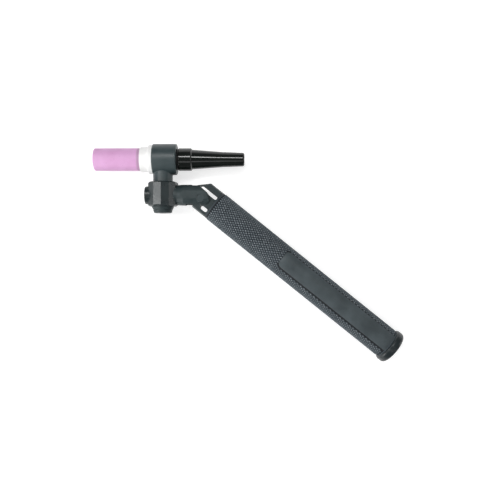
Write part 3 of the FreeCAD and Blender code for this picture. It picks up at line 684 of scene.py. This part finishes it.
# %% The lattice and the band's place in it
# The first column of valleys runs just below the band, at the foot of the groove.
groove_angle = 4.5
first_column = band_low - groove_angle
low_groove, other_grooves = 0.85, 0.4


def lattice_place(row, column):
    """Distance along the handle and angle of a point of the lattice."""
    return knurl_start + half_diamond * row, first_column + 360 / around * column


def beside_band(along, angle):
    """True inside the band's outline grown by the groove, with its rounded front corners."""
    half = (band_high - band_low) / 2
    turned = (angle - band_low - half + 180) % 360 - 180
    grown = low_groove if turned < 0 else other_grooves
    ahead = along - band_start
    inward = math.radians(half - abs(turned)) * band_radius
    if ahead < -other_grooves or inward < -grown:
        return False
    if ahead < band_corner and inward < band_corner:
        return math.hypot(band_corner - ahead, band_corner - inward) < band_corner + grown
    return True


covered = 0
for row in range(knurl_rows + 1):
    covered += sum(beside_band(*lattice_place(row, column)) for column in range(around))
print("lattice points kept low for the band:", covered, "of", (knurl_rows + 1) * around)

# %% The diamonds
sleeve = Surface()


def valley(row, column):
    """The vertex of a valley point; the columns close up after one turn."""
    column %= around
    along, angle = lattice_place(row, column)
    return sleeve.point(on_handle(along, angle, valley_radius), ("valley", row, column))


def add_diamond(row, column, corners):
    """A diamond about this lattice point, with a flat top."""
    along, angle = lattice_place(row, column)
    half_along, half_round = half_diamond * flat_top, 360 / around * flat_top
    tops = [sleeve.point(on_handle(along, angle - half_round, peak_radius)),
            sleeve.point(on_handle(along + half_along, angle, peak_radius)),
            sleeve.point(on_handle(along, angle + half_round, peak_radius)),
            sleeve.point(on_handle(along - half_along, angle, peak_radius))]
    sleeve.ring_faces(corners, tops)
    sleeve.faces.append(tuple(tops))


# At both ends of the knurl half a diamond has only three corners, and stays flat.
diamonds = 0
for row in range(knurl_rows + 1):
    for column in range((row + 1) % 2, around, 2):
        sides = [(row, column - 1), (row + 1, column), (row, column + 1), (row - 1, column)]
        corners = [valley(*side) for side in sides if 0 <= side[0] <= knurl_rows]
        if len(corners) == 4 and not beside_band(*lattice_place(row, column)):
            add_diamond(row, column, corners)
            diamonds += 1
        else:
            sleeve.faces.append(tuple(corners))
print("diamonds raised:", diamonds)

# %% [markdown]
# The ends and the bore are turned shapes, so each is a profile of points swept once round. They
# could be made with a Screw modifier, but then the rings wouldn't share the knurl's vertices, and
# the sleeve would fall into loose shells. So each profile point becomes a ring with as many
# vertices as the lattice has valleys, and faces join ring to ring.

# %% Ends and bore of the sleeve
# Each point is a distance along the handle and a radius. The front lip is a little lower than the
# diamonds, so that they and not the lip take the pale top colour, which is wear and painted highlight.
lip_drops = [(0.0, 0.37), (0.12, 0.12), (0.4, 0.0)]
lip_end = 11.1
front_profile = [(sleeve_front, bore_radius)]
front_profile += [(sleeve_front + behind, lip_radius - drop) for behind, drop in lip_drops]
front_profile.append((lip_end, lip_radius))

# At the rear come the end of the knurl, the seat of the rim, and then the wider bore, which takes
# the cable and narrows again inside.
knurl_slope = 0.12
cable_room_end, cable_room_bevel = 70.0, 0.4
rear_profile = [
    (knurl_end + knurl_slope, band_radius),
    (rim_start, band_radius),
    (rim_start, seat_radius),
    (seat_end, seat_radius),
    (seat_end, cable_radius),
    (cable_room_end, cable_radius),
    (cable_room_end - cable_room_bevel, bore_radius),
]


def plain_ring(along, radius):
    """A ring of vertices in line with the valleys of the lattice's first row."""
    ring = []
    for column in range(0, around, 2):
        place = on_handle(along, lattice_place(0, column)[1], radius)
        ring.append(sleeve.point(place, ("ring", along, radius, column)))
    return ring


front_rings = [plain_ring(*corner) for corner in front_profile]
front_rings.append([valley(0, column) for column in range(0, around, 2)])
rear_rings = [[valley(knurl_rows, column) for column in range(0, around, 2)]]
rear_rings += [plain_ring(*corner) for corner in rear_profile]
rear_rings.append(front_rings[0])
for rings in (front_rings, rear_rings):
    for first, second in zip(rings, rings[1:]):
        sleeve.ring_faces(first, second)
print("vertices of the sleeve:", len(sleeve.places))

# %% [markdown]
# The smooth band is a thin plate let into the sleeve, a hair below the tops of the diamonds. It
# could be cut out of the knurl with a boolean, but that leaves ragged slivers. It is laid out
# instead in lines along the handle, which start further back near its two sides to round its front
# corners. The same lines drawn a little inwards give the soft edge round its top.

# %% Outline of the smooth band
corner_steps, middle_steps, plate_rows = 6, 6, 30


def band_sheet(plate, inset, radius):
    """Rows of points over the band, its outline held back by inset."""
    corner_radius = band_corner - inset
    width = math.radians(band_high - band_low) * band_radius
    lines = []
    for k in range(corner_steps + 1):
        turn = math.radians(90 * k / corner_steps)
        sideways = inset + corner_radius * (1 - math.cos(turn))
        ahead = inset + corner_radius * (1 - math.sin(turn))
        lines.append((sideways, ahead))
    far_lines = [(width - sideways, ahead) for sideways, ahead in reversed(lines)]
    for k in range(1, middle_steps):
        lines.append((band_corner + (width - 2 * band_corner) * k / middle_steps, inset))
    lines += far_lines
    rows = []
    for k in range(plate_rows + 1):
        row = []
        for sideways, ahead in lines:
            front = band_start + ahead
            along = front + (knurl_end - inset - front) * k / plate_rows
            row.append(plate.point(on_handle(along, band_low + arc_angle(sideways), radius)))
        rows.append(row)
    return rows


def outline(rows):
    """The points round the outside of a sheet, in order."""
    near_side = [row[0] for row in rows[1:-1]]
    far_side = [row[-1] for row in rows[1:-1]]
    return rows[0] + far_side + rows[-1][::-1] + near_side[::-1]


print("the band is", round(math.radians(band_high - band_low) * band_radius, 1), "mm wide")

# %% The smooth band
plate_foot = 9.5
edge_inset, edge_drop = 0.16, 0.10
plate = Surface()
top = band_sheet(plate, edge_inset, band_radius)
foot = band_sheet(plate, 0.0, plate_foot)
shoulder = []
for k in outline(foot):
    away = plate.places[k] - crossing
    away -= handle_axis * away.dot(handle_axis)
    raised = plate.places[k] + away.normalized() * (band_radius - edge_drop - plate_foot) * MM
    shoulder.append(plate.point(raised))
plate.sheet_faces(top)
plate.sheet_faces(foot)
plate.ring_faces(outline(foot), shoulder)
plate.ring_faces(shoulder, outline(top))
print("faces of the band:", len(plate.faces))

# %% [markdown]
# The knurl is coloured in two ways: the tops of the diamonds are paler, which is wear from hands
# and a painted highlight, and the valleys are darkened with painted shade. Painting each diamond by
# hand would take days. The material measures how far a point lies from the handle's axis instead,
# and that radius says whether it is a top or a valley.

# %% Finish of the sleeve
def knurled_finish():
    """Charcoal moulding, paler on the tops of the diamonds from wear and a painted highlight, and
    darkened with painted shade in the valleys.
    """
    material, tree, shader, place = start_material("knurled moulding")
    shader.inputs["Specular IOR Level"].default_value = 0.12
    grain = use_group(tree, grain_group, place, grain_per_metre=3000.0, tone_per_metre=60.0)
    colour = blend_colours(tree, grain.outputs["Tone"], (0.071, 0.090, 0.103), (0.103, 0.126, 0.141))
    centre = add_node(tree, "ShaderNodeVectorMath", operation="SUBTRACT")
    tree.links.new(place, centre.inputs[0])
    centre.inputs[1].default_value = crossing
    away = add_node(tree, "ShaderNodeVectorMath", operation="CROSS_PRODUCT")
    tree.links.new(centre.outputs[0], away.inputs[0])
    away.inputs[1].default_value = handle_axis
    radius = add_node(tree, "ShaderNodeVectorMath", operation="LENGTH")
    tree.links.new(away.outputs[0], radius.inputs[0])
    valley_floor, peak = valley_radius * MM, peak_radius * MM
    rise = peak - valley_floor
    # Below the first of these radii the valleys darken with painted shade; above the second the tops
    # take a pale colour that is part wear and part painted highlight.
    valley_shade_end, rubbed_and_highlit_from = valley_floor + 0.7 * rise, valley_floor + 0.6 * rise
    raised = map_range(tree, radius.outputs["Value"], valley_floor, valley_shade_end)
    colour = blend_colours(tree, raised, (0.017, 0.020, 0.023), colour)
    # The tops of the diamonds turn pale, part wear and part painted highlight.
    top = map_range(tree, radius.outputs["Value"], rubbed_and_highlit_from, peak)
    patch = noise_node(tree, place, 900.0, 2.0)
    rubbed_and_highlit = math_node(tree, "MULTIPLY", top, map_range(tree, patch, 0.36, 0.64, 0.0, 0.8))
    colour = blend_colours(tree, rubbed_and_highlit, colour, (0.30, 0.325, 0.35))
    tree.links.new(colour, shader.inputs["Base Color"])
    rough = map_range(tree, grain.outputs["Tone"], 0.0, 1.0, 0.44, 0.58)
    tree.links.new(rough, shader.inputs["Roughness"])
    add_bump(tree, shader, grain.outputs["Height"], 40 * MICRON)
    return material


band_finish = moulded(
    "smooth band", dark=(0.042, 0.054, 0.060), pale=(0.068, 0.086, 0.094), worn=(0.13, 0.145, 0.15),
    roughness=(0.40, 0.52), grain_depth=20 * MICRON, shine=0.35)
knurled_sleeve = sleeve.piece("knurled_sleeve")
knurled_sleeve.data.materials.append(knurled_finish())
smooth_band = plate.piece("smooth_band")
smooth_band.data.materials.append(band_finish)
print("finishes made:", knurled_sleeve.data.materials[0].name, "and", band_finish.name)

# %% The sleeve's pieces take the place of the plain node
for piece in (knurled_sleeve, smooth_band):
    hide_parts("grip_sleeve")
    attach(piece, "grip")
dress("grip_sleeve", body_moulding)
print("parts left to dress:", sorted(set(nodes) - dressed))
print("sleeve faces:", len(knurled_sleeve.data.polygons))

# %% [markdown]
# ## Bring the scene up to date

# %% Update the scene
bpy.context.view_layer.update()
